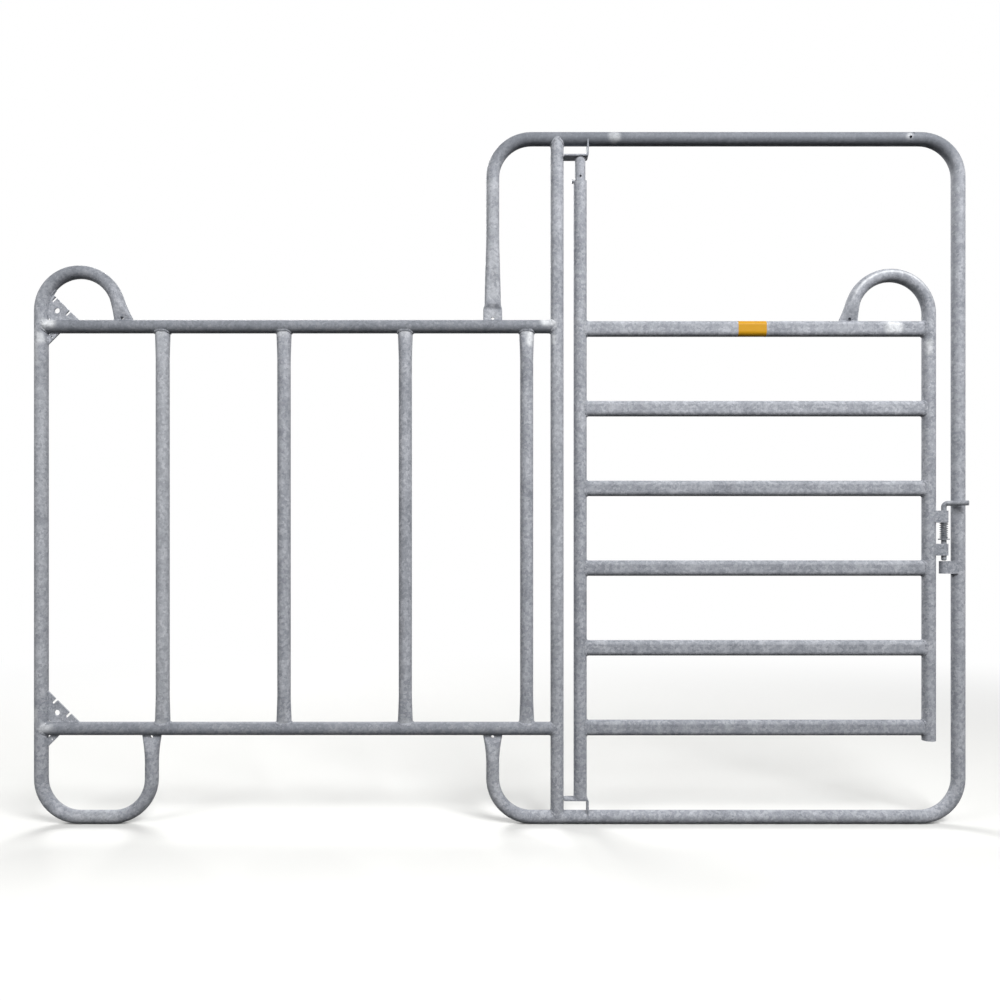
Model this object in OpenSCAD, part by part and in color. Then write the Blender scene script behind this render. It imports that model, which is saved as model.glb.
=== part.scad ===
// Livestock panel with a hinged gate in a tall frame, in hot-dip galvanised steel tube.
// Millimetres, +Z up, +X along the panel towards the latch, the gate opens towards -Y.

/* [Overall] */
// Width over the two outer posts
overall_width = 3000; // [2800:10:3300]
// Height over the gate frame
overall_height = 2228; // [2120:2:2400]

/* [Tube] */
// Outer diameter of the round tube
tube_dia = 42.4; // [40:0.1:44]
// Wall of the round tube, seen at its open ends
tube_wall = 3.2; // [2.6:0.1:3.4]
// Radius of every tube bend, to the axis
bend_radius = 125; // [115:1:132]

/* [Panel] */
// Height of the lower panel rail, to its axis
panel_low_z = 306; // [295:1:330]
// Height of the upper panel rail, to its axis
panel_high_z = 1602; // [1500:1:1650]
// Last upright bar to the hinge post, axis to axis
bar_end_gap = 98; // [80:1:140]
// Thickness of a bar's oval end
bar_end_thick = 31; // [26:0.5:38]
// Length over which a bar's end turns oval
bar_end_taper = 120; // [80:5:160]
// Crown of the carrying loop above the upper rail, axis to axis
loop_rise = 175.7; // [165:0.1:190]
// Lean of the carrying loop's end, in degrees
loop_lean = 17; // [10:1:24]
// Width of the foot, axis to axis
foot_width = 356.6; // [320:0.2:385]

/* [Flattened ends] */
// Thickness of a flattened tube end
flat_thick = 9; // [8:0.5:14]
// Length of the flat part of a short end
flat_length = 6; // [4:1:10]
// Length over which a short end turns flat
short_taper = 95; // [85:1:115]
// Length of the tall stub's flat part
stub_flat = 34; // [28:1:44]
// Length of the crease behind the tall stub's flat part
crease_length = 20; // [14:1:30]
// Length over which the tall stub turns flat
long_taper = 300; // [200:5:360]
// Diameter of the drain hole at a flattened end
drain_dia = 10; // [6:0.5:12]
// Drain hole's centre from the rail's surface
drain_up = 5; // [3:0.5:7]

/* [Gate frame] */
// Hinge post to latch post, axis to axis
gateway_width = 1294; // [1220:1:1340]
// Gate frame stub to hinge post, axis to axis
stub_gap = 207.6; // [195:0.2:230]
// Diameter of the vent hole in the top rail
vent_dia = 6; // [4:0.5:8]
// Vent hole to the latch post, axis to axis
vent_in = 150; // [145:1:180]

/* [Chain plates] */
// Thickness of the chain and corner plates
plate_thick = 6; // [5:0.5:8]
// Leg of a chain plate
chain_leg = 100; // [94:1:110]
// Clipped inner corner of a plate
plate_clip = 10; // [6:1:12]
// Width of a chain slot
slot_width = 8; // [7:0.5:9]
// Depth of a chain slot
slot_depth = 18; // [14:1:20]
// Spacing of the two chain slots along the slanted edge
slot_spacing = 62; // [54:1:68]
// Diameter of the hole in a chain plate
chain_hole_dia = 18; // [14:0.5:20]
// Hole centre from each leg of a chain plate
chain_hole_in = 30; // [27:0.5:32]
// Mounting point from each leg of the lower chain plate
face_in = 43; // [42:0.5:45]
// Leg of a corner plate
corner_leg = 37; // [30:1:44]
// Diameter of the hole in a corner plate
corner_hole_dia = 6; // [4:0.5:7]
// Hole centre from each leg of a corner plate
corner_hole_in = 13; // [12:0.5:14]

/* [Gate] */
// Hinge post to hinge stile, axis to axis
hinge_gap = 74.6; // [68:0.2:84]
// Latch stile to latch post, axis to axis
latch_gap = 94.8; // [90:0.2:100]
// Height of the lowest gate rail, to its axis
gate_low_z = 309; // [300:1:330]
// Height of the highest gate rail, to its axis
gate_high_z = 1594.6; // [1540:0.2:1640]
// Height of the oval gate rail
rail_height = 50; // [46:0.5:54]
// Thickness of the oval gate rail
rail_thick = 30; // [26:0.5:34]
// Crown of the gate loop above the highest rail, axis to axis
gate_loop_rise = 172.6; // [165:0.2:190]
// Lean of the gate loop's end, in degrees
gate_loop_lean = 14; // [8:1:20]
// Latch stile's open end below the lowest rail's axis
stile_tail = 41; // [36:1:55]

/* [Hinge] */
// Width of the bracket strap
bracket_width = 40; // [36:0.5:41]
// Thickness of the bracket strap
bracket_thick = 5; // [4:0.5:6]
// Inner bend radius of the bracket strap
bracket_bend = 3; // [2:0.5:6]
// Bracket face to the rail's axis
bracket_drop = 61; // [52:0.5:70]
// Bracket's outer leg beyond the hinge axis
bracket_reach = 26; // [23:0.5:30]
// Hinge stile's top end below the top rail's axis
stile_top_gap = 141; // [125:1:160]
// Outer diameter of the spindle tube
spindle_dia = 33.7; // [32:0.1:35]
// Wall of the spindle tube
spindle_wall = 2.6; // [2:0.1:3.2]
// Spindle length inside the hinge stile
spindle_hidden = 150; // [100:5:200]
// Length of each hinge pin
hinge_pin_length = 55; // [40:1:64]
// Diameter of the locking pin through the spindle
lock_pin_dia = 8; // [6:0.5:10]
// Diameter of the locking pin's head
lock_head_dia = 13; // [12:0.5:15]
// Thickness of the locking pin's head
lock_head_thick = 5; // [3:0.5:6]
// Locking pin's head beyond the hinge stile
lock_head_out = 6; // [5:0.5:8]
// Diameter of the spare hole in the spindle
spare_hole_dia = 7; // [5:0.5:8]
// Spare hole above the hinge stile
spare_hole_up = 16; // [14:0.5:24]

/* [Latch] */
// Diameter of the latch bolt
bolt_dia = 16; // [14:0.5:17]
// Latch bolt to the latch post, axis to axis
bolt_gap = 49.6; // [48:0.1:51]
// Latch bolt in front of the panel's middle plane
bolt_front = 7; // [6:0.25:8]
// Thickness of the bent straps
strap_thick = 4; // [3:0.5:5]
// Height of the bolt guides
guide_height = 38; // [34:0.5:42]
// Guide's front leg short of the stile's axis
guide_short = 5; // [4:0.5:7]
// Height of the upper guide's underside
guide_high_z = 970; // [940:1:1020]
// Space between the two guides
guide_space = 68; // [60:1:80]
// Height of the keeper
keeper_height = 40; // [34:1:44]
// Space between the lower guide and the keeper
keeper_space = 18; // [16:1:26]
// Inner width of the keeper
keeper_eye = 21; // [20:0.5:24]
// Keeper's front leg short of the post's axis
keeper_short = 10; // [8:0.5:12]
// Bolt lift that clears the keeper
clear_lift = 12; // [9:0.5:15]
// Tip of the lifted bolt above the keeper
tip_clear = 2; // [1:0.5:3]
// Bevel at the bolt's tip
tip_bevel = 3; // [2:0.5:4]
// Bend radius of the bolt's handle
handle_bend = 11; // [9:0.5:14]
// Reach of the handle from the bolt's axis
handle_reach = 71; // [64:1:80]
// Angle of the handle towards the front, in degrees
handle_angle = 37; // [35:1:40]
// Outer diameter of the coil spring
spring_dia = 25; // [23:0.5:27]
// Wire of the coil spring
spring_wire = 3; // [2.5:0.1:3.2]
// Outer diameter of the spring washer
washer_dia = 34; // [30:0.5:36]
// Thickness of the spring washer
washer_thick = 4; // [3:0.5:5]

/* [Clearances] */
// Gap under a weld
weld_gap = 0.25; // [0.2:0.05:0.4]
// Radial play of the hinge pins
pin_play = 0.6; // [0.4:0.05:0.8]
// Radial play of the bolt in its guides
guide_play = 1.2; // [0.8:0.1:1.6]
// Gap at a resting or running face
seat_gap = 0.4; // [0.3:0.05:0.6]
// Overrun of a cut past a face
overrun = 1; // [0.5:0.1:2]
// Step where a shaped tube end meets the round tube
blend_step = 0.15; // [0.1:0.05:0.3]

/* [Hidden] */
$fn = 96;
bar_count = 4;
gate_rail_count = 6;
flat_sides = 32;
flat_steps = 7;
spring_turns = 8;
spring_steps = 20;
spring_sides = 8;
// Thickness behind the crease of a flattened end, as a share of the tube
crease_share = 0.56;
// Height of the vent hole on the top rail, in degrees above the front
vent_angle = 36;

tube_r = tube_dia / 2;
seat_r = tube_r + weld_gap;
bore_r = tube_r - tube_wall;
shaped_dia = tube_dia - 2 * blend_step;
right_x = overall_width - tube_dia;
top_z = overall_height - tube_r;
base_z = tube_r;
post_x = right_x - gateway_width;
stub_x = post_x - stub_gap;
hinge_x = post_x + hinge_gap;
stile_x = right_x - latch_gap;
bolt_x = right_x - bolt_gap;
bar_pitch = (post_x - bar_end_gap) / bar_count;
rail_pitch = (gate_high_z - gate_low_z) / (gate_rail_count - 1);
loop_z = panel_high_z + loop_rise - bend_radius;
gate_loop_z = gate_high_z + gate_loop_rise - bend_radius;
low_plate_z = base_z + bracket_drop;
high_plate_z = top_z - bracket_drop;
stile_top_z = top_z - stile_top_gap;
lock_pin_z = stile_top_z + lock_pin_dia / 2 + weld_gap;
guide_nose = bolt_dia / 2 + guide_play;
guide_low_z = guide_high_z - guide_space - guide_height;
keeper_z = guide_low_z - keeper_space - keeper_height;
tip_z = keeper_z + keeper_height + tip_clear;
handle_z = guide_high_z + guide_height + seat_gap + clear_lift + handle_bend;
washer_z = guide_low_z + guide_height + seat_gap + clear_lift;
spring_low_z = washer_z + washer_thick + seat_gap;
spring_high_z = guide_high_z - seat_gap;
bend_z = base_z + bend_radius;
origin = [seat_r + face_in, -plate_thick / 2, panel_low_z + seat_r + face_in];

zinc = [0.62, 0.65, 0.68];
bright_zinc = [0.72, 0.74, 0.76];

// A smooth step from 0 to 1
function ease(u) = let (v = max(0, min(1, u))) v * v * (3 - 2 * v);

// Width of the tube pressed to thickness t, with the same girth
function pressed_width(t) = (PI * shaped_dia - (PI - 2) * t) / 2;

// A step from 0 to 1 that starts at once and ends smoothly
function ease_out(u) = let (v = max(0, min(1, u))) v * (2 - v);

// Thickness of a creased end at distance s from it
function creased_at(s, taper) = flat_thick
    + (shaped_dia * crease_share - flat_thick) * ease((s - stub_flat) / crease_length)
    + shaped_dia * (1 - crease_share) * ease((s - stub_flat) / (taper - stub_flat));

// Thickness of a flared end at distance s from it
function flared_at(s, taper) = flat_thick
    + (shaped_dia - flat_thick) * ease_out((s - flat_length) / (taper - flat_length));

// Thickness of an oval bar end at distance s from it
function oval_at(s, taper) = bar_end_thick + (shaped_dia - bar_end_thick) * ease(s / taper);

// A frame of a tube section: distance from the end, place and sideways direction in the panel
function run_frame(p, a, s) = [s, p[0] - sin(a) * s, p[1] + cos(a) * s, cos(a), sin(a)];
function arc_frame(c, a, s, turn) = [s, c[0] + turn * bend_radius * cos(a),
    c[1] + turn * bend_radius * sin(a), cos(a), sin(a)];

// One ring of points round a frame, from circle to flat oval
function ring(f, t) = let (w = pressed_width(t))
    [for (j = [0 : flat_sides - 1]) let (a = (j + 0.5) * 360 / flat_sides,
        u = t / 2 * cos(a) + (w - t) / 2 * sign(cos(a)))
        [f[1] + f[3] * u, t / 2 * sin(a), f[2] + f[4] * u]];

// Distance from the end and thickness of each ring of a creased end
function creased_end(taper) = [for (s = concat([0, stub_flat],
    [for (i = [1 : flat_steps]) stub_flat + crease_length * i / flat_steps],
    [for (i = [1 : flat_steps]) stub_flat + crease_length
        + (taper - stub_flat - crease_length) * i / flat_steps])) [s, creased_at(s, taper)]];

// Distance from the end and thickness of each ring of a flared end
function flared_end(taper) = [for (s = concat([0], [for (i = [0 : 2 * flat_steps])
    flat_length + (taper - flat_length) * i / (2 * flat_steps)])) [s, flared_at(s, taper)]];

// A closed skin over a list of rings
module skin(rings, sides) {
    last = len(rings) - 1;
    points = [for (r = rings) each r];
    walls = [for (i = [0 : last - 1], j = [0 : sides - 1])
        let (k = (j + 1) % sides, a = i * sides, b = a + sides)
        each [[a + j, b + j, b + k], [a + j, b + k, a + k]]];
    first_cap = [for (j = [0 : sides - 1]) j];
    last_cap = [for (j = [0 : sides - 1]) last * sides + sides - 1 - j];
    polyhedron(points = points, faces = concat(walls, [first_cap, last_cap]));
}

// A straight flattened end that starts at p in the panel and runs in direction a from upright
module flat_run(p, a, shape) {
    skin([for (q = shape) ring(run_frame(p, a, q[0]), q[1])], flat_sides);
}

// A straight oval end of an upright bar
module oval_run(p, a) {
    skin([for (i = [0 : flat_steps]) let (s = bar_end_taper * i / flat_steps)
        ring(run_frame(p, a, s), oval_at(s, bar_end_taper))], flat_sides);
}

// A flattened end that runs straight for a length, then into a bend about c
module flat_bend(p, a, straight, c, turn, shape) {
    skin([for (q = shape) let (s = q[0]) ring(s <= straight ? run_frame(p, a, s)
        : arc_frame(c, a + (s - straight) / bend_radius * 180 / PI * turn, s, turn), q[1])],
        flat_sides);
}

module upright(x, z1, z2, r) {
    translate([x, 0, z1]) cylinder(h = z2 - z1, r = r);
}

module level(x1, x2, z, r) {
    translate([x1, 0, z]) rotate([0, 90, 0]) cylinder(h = x2 - x1, r = r);
}

module across(x, z, r, h) {
    translate([x, 0, z]) rotate([90, 0, 0]) cylinder(h = h, r = r, center = true);
}

// A tube bend about c in the panel, from angle a over a sweep
module bend(c, a, sweep, r) {
    translate([c[0], 0, c[1]]) rotate([90, 0, 0]) rotate([0, 0, a])
        rotate_extrude(angle = sweep) translate([bend_radius, 0]) circle(r = r);
}

module left_post() {
    lean_c = [bend_radius, loop_z];
    arc_end = [bend_radius + bend_radius * cos(loop_lean), loop_z + bend_radius * sin(loop_lean)];
    skew = pressed_width(flat_thick) / 2 * tan(loop_lean);
    straight = (arc_end[1] - panel_high_z - tube_r) / cos(loop_lean) + skew + overrun;
    loop_end = [arc_end[0] + straight * sin(loop_lean), arc_end[1] - straight * cos(loop_lean)];
    drain_x = arc_end[0] + (arc_end[1] - panel_high_z - tube_r - drain_up) * tan(loop_lean);
    bend_part = (short_taper - straight - overrun) / bend_radius * 180 / PI;
    foot_end_z = panel_low_z - tube_r + overrun;
    difference() {
        union() {
            flat_bend(loop_end, loop_lean, straight, lean_c, 1, flared_end(short_taper));
            translate([2 * bend_radius, 0, 0]) mirror([1, 0, 0])
                bend(lean_c, 0, 180 - loop_lean - bend_part, tube_r);
            upright(0, bend_z, loop_z, tube_r);
            bend([bend_radius, bend_z], 180, 90, tube_r);
            level(bend_radius, foot_width - bend_radius, base_z, tube_r);
            bend([foot_width - bend_radius, bend_z], 270, 90, tube_r);
            upright(foot_width, bend_z, foot_end_z - short_taper + overrun, tube_r);
            flat_run([foot_width, foot_end_z], 180, flared_end(short_taper));
        }
        level(bend_radius, post_x, panel_high_z, seat_r);
        level(bend_radius, post_x, panel_low_z, seat_r);
        across(drain_x, panel_high_z + tube_r + drain_up, drain_dia / 2, tube_dia);
        across(foot_width, panel_low_z - tube_r - drain_up, drain_dia / 2, tube_dia);
    }
}

module panel_rail(z) {
    difference() {
        level(0, post_x, z, tube_r);
        upright(0, z - tube_dia, z + tube_dia, seat_r);
        upright(post_x, z - tube_dia, z + tube_dia, seat_r);
    }
}

module panel_bar(i) {
    x = i * bar_pitch;
    low = panel_low_z;
    high = panel_high_z;
    difference() {
        union() {
            oval_run([x, low], 0);
            upright(x, low + bar_end_taper - overrun, high - bar_end_taper + overrun, tube_r);
            oval_run([x, high], 180);
        }
        level(0, post_x, low, seat_r);
        level(0, post_x, high, seat_r);
    }
}

module gate_frame() {
    left = stub_x + bend_radius;
    right = right_x - bend_radius;
    high = top_z - bend_radius;
    upper_end = panel_high_z + tube_r - overrun;
    lower_end = panel_low_z - tube_r + overrun;
    difference() {
        union() {
            flat_run([stub_x, upper_end], 0, creased_end(long_taper));
            upright(stub_x, upper_end + long_taper - overrun, high, tube_r);
            bend([left, high], 90, 90, tube_r);
            level(left, right, top_z, tube_r);
            bend([right, high], 0, 90, tube_r);
            upright(right_x, bend_z, high, tube_r);
            bend([right, bend_z], 270, 90, tube_r);
            level(left, right, base_z, tube_r);
            bend([left, bend_z], 180, 90, tube_r);
            upright(stub_x, bend_z, lower_end - short_taper + overrun, tube_r);
            flat_run([stub_x, lower_end], 180, flared_end(short_taper));
        }
        level(bend_radius, post_x, panel_high_z, seat_r);
        level(bend_radius, post_x, panel_low_z, seat_r);
        across(stub_x, panel_high_z + tube_r + drain_up, drain_dia / 2, tube_dia);
        across(stub_x, panel_low_z - tube_r - drain_up, drain_dia / 2, tube_dia);
        translate([right_x - vent_in, 0, top_z]) rotate([90 - vent_angle, 0, 0])
            translate([0, 0, bore_r]) cylinder(h = tube_r, d = vent_dia);
    }
}

module hinge_post() {
    difference() {
        upright(post_x, base_z, top_z, tube_r);
        level(post_x - tube_dia, post_x + tube_dia, base_z, seat_r);
        level(post_x - tube_dia, post_x + tube_dia, top_z, seat_r);
    }
}

// A plate in the panel's middle plane, from a right-angled corner of two tubes
module plate(z, side) {
    translate([0, 0, z]) rotate([90, 0, 0]) linear_extrude(height = plate_thick, center = true)
        scale([1, side]) translate([seat_r, seat_r]) children();
}

module corner_outline(leg) {
    polygon([[plate_clip, 0], [leg, 0], [0, leg], [0, plate_clip]]);
}

module chain_outline() {
    difference() {
        corner_outline(chain_leg);
        translate([chain_hole_in, chain_hole_in]) circle(d = chain_hole_dia);
        for (side = [-1, 1]) translate([chain_leg / 2, chain_leg / 2]) rotate(-45)
            translate([side * slot_spacing / 2 - slot_width / 2, -slot_depth])
            square([slot_width, slot_depth + overrun]);
    }
}

module upper_chain_plate() {
    difference() {
        plate(panel_high_z, 1) chain_outline();
        bend([bend_radius, loop_z], 90, 90, seat_r);
    }
}

module lower_chain_plate() {
    plate(panel_low_z, 1) chain_outline();
}

module corner_plate(z) {
    plate(z, -1) difference() {
        corner_outline(corner_leg);
        translate([corner_hole_in, corner_hole_in]) circle(d = corner_hole_dia);
    }
}

// A bent strap from the post to the rail that carries a hinge pin; side 1 hangs down, -1 stands up
module hinge_bracket(rail_z, side) {
    far = hinge_gap + bracket_reach;
    turn_r = bracket_bend + bracket_thick;
    difference() {
        translate([post_x, 0, rail_z]) rotate([90, 0, 0])
            linear_extrude(height = bracket_width, center = true) scale([1, -side]) {
                translate([seat_r, bracket_drop - bracket_thick])
                    square([far - turn_r - seat_r, bracket_thick]);
                translate([far - bracket_thick, 0])
                    square([bracket_thick, bracket_drop - turn_r]);
                translate([far - turn_r, bracket_drop - turn_r]) intersection() {
                    difference() {
                        circle(r = turn_r);
                        circle(r = bracket_bend);
                    }
                    square(turn_r);
                }
            }
        level(post_x, post_x + far + overrun, rail_z, seat_r);
    }
}

module top_hinge_pin() {
    r = spindle_dia / 2 - spindle_wall - pin_play;
    translate([hinge_x, 0, high_plate_z - hinge_pin_length - weld_gap])
        cylinder(h = hinge_pin_length, r = r);
}

module bottom_hinge_pin() {
    translate([hinge_x, 0, low_plate_z + weld_gap])
        cylinder(h = hinge_pin_length, r = bore_r - pin_play);
}

// A strap bent round an upright rod, its nose towards +X, its front leg towards -Y
module bent_strap(nose, height, front, back) {
    rotate([0, 0, -90]) rotate_extrude(angle = 180)
        translate([nose, 0]) square([strap_thick, height]);
    translate([-front, -nose - strap_thick, 0]) cube([front, strap_thick, height]);
    translate([-back, nose, 0]) cube([back, strap_thick, height]);
}

module latch_keeper() {
    nose = keeper_eye / 2;
    reach = bolt_gap;
    difference() {
        translate([bolt_x, -bolt_front, keeper_z]) mirror([1, 0, 0])
            bent_strap(nose, keeper_height, reach - keeper_short, reach);
        upright(right_x, keeper_z - overrun, keeper_z + keeper_height + overrun, seat_r);
    }
}

module bolt_guide(z) {
    reach = bolt_x - stile_x;
    difference() {
        translate([bolt_x, -bolt_front, z])
            bent_strap(guide_nose, guide_height, reach - guide_short, reach);
        upright(stile_x, z - overrun, z + guide_height + overrun, seat_r);
    }
}

module hinge_stile() {
    difference() {
        upright(hinge_x, low_plate_z + seat_gap, stile_top_z, tube_r);
        upright(hinge_x, low_plate_z - overrun, stile_top_z + overrun, bore_r);
    }
}

module hinge_spindle() {
    low = stile_top_z - spindle_hidden;
    high = high_plate_z - seat_gap;
    difference() {
        upright(hinge_x, low, high, spindle_dia / 2);
        upright(hinge_x, low - overrun, high + overrun, spindle_dia / 2 - spindle_wall);
        level(hinge_x - tube_dia, hinge_x + tube_dia, lock_pin_z, lock_pin_dia / 2 + weld_gap);
        translate([hinge_x, 0, stile_top_z + spare_hole_up]) rotate([90, 0, 0])
            cylinder(h = tube_dia, d = spare_hole_dia);
    }
}

module spindle_pin() {
    level(hinge_x - tube_r - lock_head_out + lock_head_thick, hinge_x + tube_r, lock_pin_z,
        lock_pin_dia / 2);
    level(hinge_x - tube_r - lock_head_out, hinge_x - tube_r - lock_head_out + lock_head_thick,
        lock_pin_z, lock_head_dia / 2);
}

// Outline of the oval gate rail, grown all round by a gap
module rail_outline(gap) {
    r = rail_thick / 2 + gap;
    flank = rail_height - rail_thick;
    square([2 * r, flank], center = true);
    for (side = [-1, 1]) translate([0, side * flank / 2]) circle(r = r);
}

// A length of oval along the panel at a height
module oval_level(x1, x2, z, gap) {
    translate([x1, 0, z]) rotate([90, 0, 90]) linear_extrude(height = x2 - x1) rail_outline(gap);
}

module gate_rail(i) {
    z = gate_low_z + (i - 1) * rail_pitch;
    difference() {
        oval_level(hinge_x, stile_x, z, 0);
        upright(hinge_x, z - rail_height, z + rail_height, seat_r);
        upright(stile_x, z - rail_height, z + rail_height, seat_r);
    }
}

module latch_stile() {
    low = gate_low_z - stile_tail;
    lean = gate_loop_lean;
    loop_c = [stile_x - bend_radius, gate_loop_z];
    arc_end = loop_c + bend_radius * [-cos(lean), sin(lean)];
    rail_top_z = gate_high_z + rail_height / 2;
    fall = arc_end[1] - rail_top_z;
    end_x = arc_end[0] - fall * tan(lean);
    half_width = pressed_width(flat_thick) / 2;
    straight = fall / cos(lean) + half_width * tan(lean) + overrun;
    loop_end = arc_end - straight * [sin(lean), cos(lean)];
    bend_part = (short_taper - straight - overrun) / bend_radius * 180 / PI;
    difference() {
        union() {
            upright(stile_x, low, gate_loop_z, tube_r);
            bend(loop_c, 0, 180 - lean - bend_part, tube_r);
            flat_bend(loop_end, -lean, straight, loop_c, -1, flared_end(short_taper));
        }
        upright(stile_x, low - overrun, gate_high_z, bore_r);
        oval_level(end_x - 2 * half_width, end_x + 2 * half_width, gate_high_z, weld_gap);
        translate([end_x + drain_up * tan(lean), 0, rail_top_z + drain_up]) rotate([90, 0, 0])
            cylinder(h = tube_r, d = drain_dia);
    }
}

// A coil of wire round the bolt, from the washer to the upper guide
module latch_spring() {
    r = (spring_dia - spring_wire) / 2;
    low = spring_low_z + spring_wire / 2;
    high = spring_high_z - spring_wire / 2;
    count = spring_turns * spring_steps;
    translate([bolt_x, -bolt_front, 0])
        skin([for (i = [0 : count]) let (a = 360 * i / spring_steps)
            [for (j = [0 : spring_sides - 1]) let (b = 360 * j / spring_sides,
                u = r + spring_wire / 2 * cos(b))
                [u * cos(a), u * sin(a), low + (high - low) * i / count
                    - spring_wire / 2 * sin(b)]]], spring_sides);
}

module latch_bolt() {
    r = bolt_dia / 2;
    translate([bolt_x, -bolt_front, 0]) rotate([0, 0, -handle_angle]) {
        translate([0, 0, tip_z]) cylinder(h = tip_bevel, r1 = r - tip_bevel, r2 = r);
        translate([0, 0, tip_z + tip_bevel])
            cylinder(h = handle_z - handle_bend - tip_z - tip_bevel, r = r);
        translate([handle_bend, 0, handle_z - handle_bend]) rotate([90, 0, 0])
            rotate([0, 0, 90]) rotate_extrude(angle = 90)
            translate([handle_bend, 0]) circle(r = r);
        translate([handle_bend, 0, handle_z]) rotate([0, 90, 0])
            cylinder(h = handle_reach - handle_bend, r = r);
    }
}

module bolt_washer() {
    translate([bolt_x, -bolt_front, washer_z]) difference() {
        cylinder(h = washer_thick, d = washer_dia);
        translate([0, 0, -overrun])
            cylinder(h = washer_thick + 2 * overrun, r = bolt_dia / 2 + weld_gap);
    }
}

translate(-origin) {
    color(zinc) left_post();
    color(zinc) panel_rail(panel_high_z);  // panel_top_rail
    color(zinc) panel_rail(panel_low_z);  // panel_bottom_rail
    color(zinc) panel_bar(1);  // panel_bar_1
    color(zinc) panel_bar(2);  // panel_bar_2
    color(zinc) panel_bar(3);  // panel_bar_3
    color(zinc) panel_bar(4);  // panel_bar_4
    color(zinc) gate_frame();
    color(zinc) hinge_post();
    color(zinc) upper_chain_plate();
    color(zinc) lower_chain_plate();
    color(zinc) corner_plate(panel_high_z);  // upper_corner_plate
    color(zinc) corner_plate(panel_low_z);  // lower_corner_plate
    color(zinc) hinge_bracket(top_z, 1);  // top_hinge_bracket
    color(bright_zinc) top_hinge_pin();
    color(zinc) hinge_bracket(base_z, -1);  // bottom_hinge_bracket
    color(bright_zinc) bottom_hinge_pin();
    color(zinc) latch_keeper();
    color(zinc) hinge_stile();
    color(zinc) hinge_spindle();
    color(bright_zinc) spindle_pin();
    color(zinc) gate_rail(1);  // gate_rail_1
    color(zinc) gate_rail(2);  // gate_rail_2
    color(zinc) gate_rail(3);  // gate_rail_3
    color(zinc) gate_rail(4);  // gate_rail_4
    color(zinc) gate_rail(5);  // gate_rail_5
    color(zinc) gate_rail(6);  // gate_rail_6
    color(zinc) latch_stile();
    color(zinc) bolt_guide(guide_high_z);  // upper_bolt_guide
    color(zinc) bolt_guide(guide_low_z);  // lower_bolt_guide
    color(bright_zinc) latch_spring();
    color(bright_zinc) latch_bolt();
    color(bright_zinc) bolt_washer();
}
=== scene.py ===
import bpy
import numpy as np
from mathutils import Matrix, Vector


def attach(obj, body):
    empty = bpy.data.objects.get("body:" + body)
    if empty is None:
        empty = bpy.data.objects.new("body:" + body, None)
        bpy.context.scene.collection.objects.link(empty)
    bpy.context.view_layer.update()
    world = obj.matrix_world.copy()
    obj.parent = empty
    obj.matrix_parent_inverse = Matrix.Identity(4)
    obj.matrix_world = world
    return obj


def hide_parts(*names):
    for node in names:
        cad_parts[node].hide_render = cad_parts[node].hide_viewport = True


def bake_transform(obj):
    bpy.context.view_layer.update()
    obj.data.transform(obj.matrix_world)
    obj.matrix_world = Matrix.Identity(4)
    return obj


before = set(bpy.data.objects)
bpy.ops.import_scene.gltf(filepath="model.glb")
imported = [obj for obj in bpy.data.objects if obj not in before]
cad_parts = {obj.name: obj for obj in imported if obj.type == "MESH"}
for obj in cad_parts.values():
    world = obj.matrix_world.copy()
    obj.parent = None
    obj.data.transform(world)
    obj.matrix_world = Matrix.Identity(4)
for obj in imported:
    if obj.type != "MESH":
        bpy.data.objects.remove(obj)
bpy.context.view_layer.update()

# sizes in mm, from the left post's axis, the panel's middle plane and the floor that it stands on
panel = {
    "origin": (64.45, -3.0, 370.45),  # the frame's own origin, on the front of the lower chain plate
    "tubeR": 21.2, "bendR": 125.0,
    "shapedDia": 42.1,  # the tube where it is pressed out of round
    "lowZ": 306.0, "highZ": 1602.0, "baseZ": 21.2, "topZ": 2206.8,
    "postX": 1663.6, "stubX": 1456.0, "footX": 356.6,
    "barPitch": 391.4, "barCount": 4, "barEndThick": 31.0,
    "loopZ": 1652.7, "loopEndX": 264.7, "loopLean": 17.0, "flatThick": 9.0, "drainR": 5.0,
    "plateThick": 6.0, "plateClip": 10.0, "chainLeg": 100.0, "cornerLeg": 37.0,
}
gate = {
    "hingeX": 1738.2, "stileX": 2862.8, "lowZ": 309.0, "pitch": 257.12, "railCount": 6,
    "railHeight": 50.0, "railThick": 30.0, "topRailZ": 1594.6,
    "loopZ": 1642.2, "loopEndX": 2603.4, "loopLean": 14.0,
}
mmPerMetre = 1000
sharpDegrees = 40  # edges sharper than this stay crisp
tiny = 1e-6
axisX, axisY, axisZ = np.eye(3)


def toMetres(points):
    # millimetres from the post and the floor, less the origin, over a thousand: metres in the part's frame
    return (np.asarray(points, float) - np.array(panel["origin"])) / mmPerMetre


def pressedWidth(thick):
    # a round tube pressed to a thickness keeps its girth, so the girth less the two round ends is left
    # for the flats
    return (np.pi * panel["shapedDia"] - (np.pi - 2) * thick) / 2


def smoothStep(share):
    # three times the square less twice the cube, held between 0 and 1
    held = np.clip(share, 0, 1)
    return held * held * (3 - 2 * held)


def gridFaces(rows, columns, closeRows):
    # one quad between each four neighbouring points, right round every ring, and on from the last ring to
    # the first where the rows are closed
    i, j = np.meshgrid(np.arange(rows if closeRows else rows - 1), np.arange(columns), indexing="ij")
    iNext = (i + 1) % rows
    jNext = (j + 1) % columns
    corners = (i * columns + j, iNext * columns + j, iNext * columns + jNext, i * columns + jNext)
    return np.stack(corners, -1).reshape(-1, 4)


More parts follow.
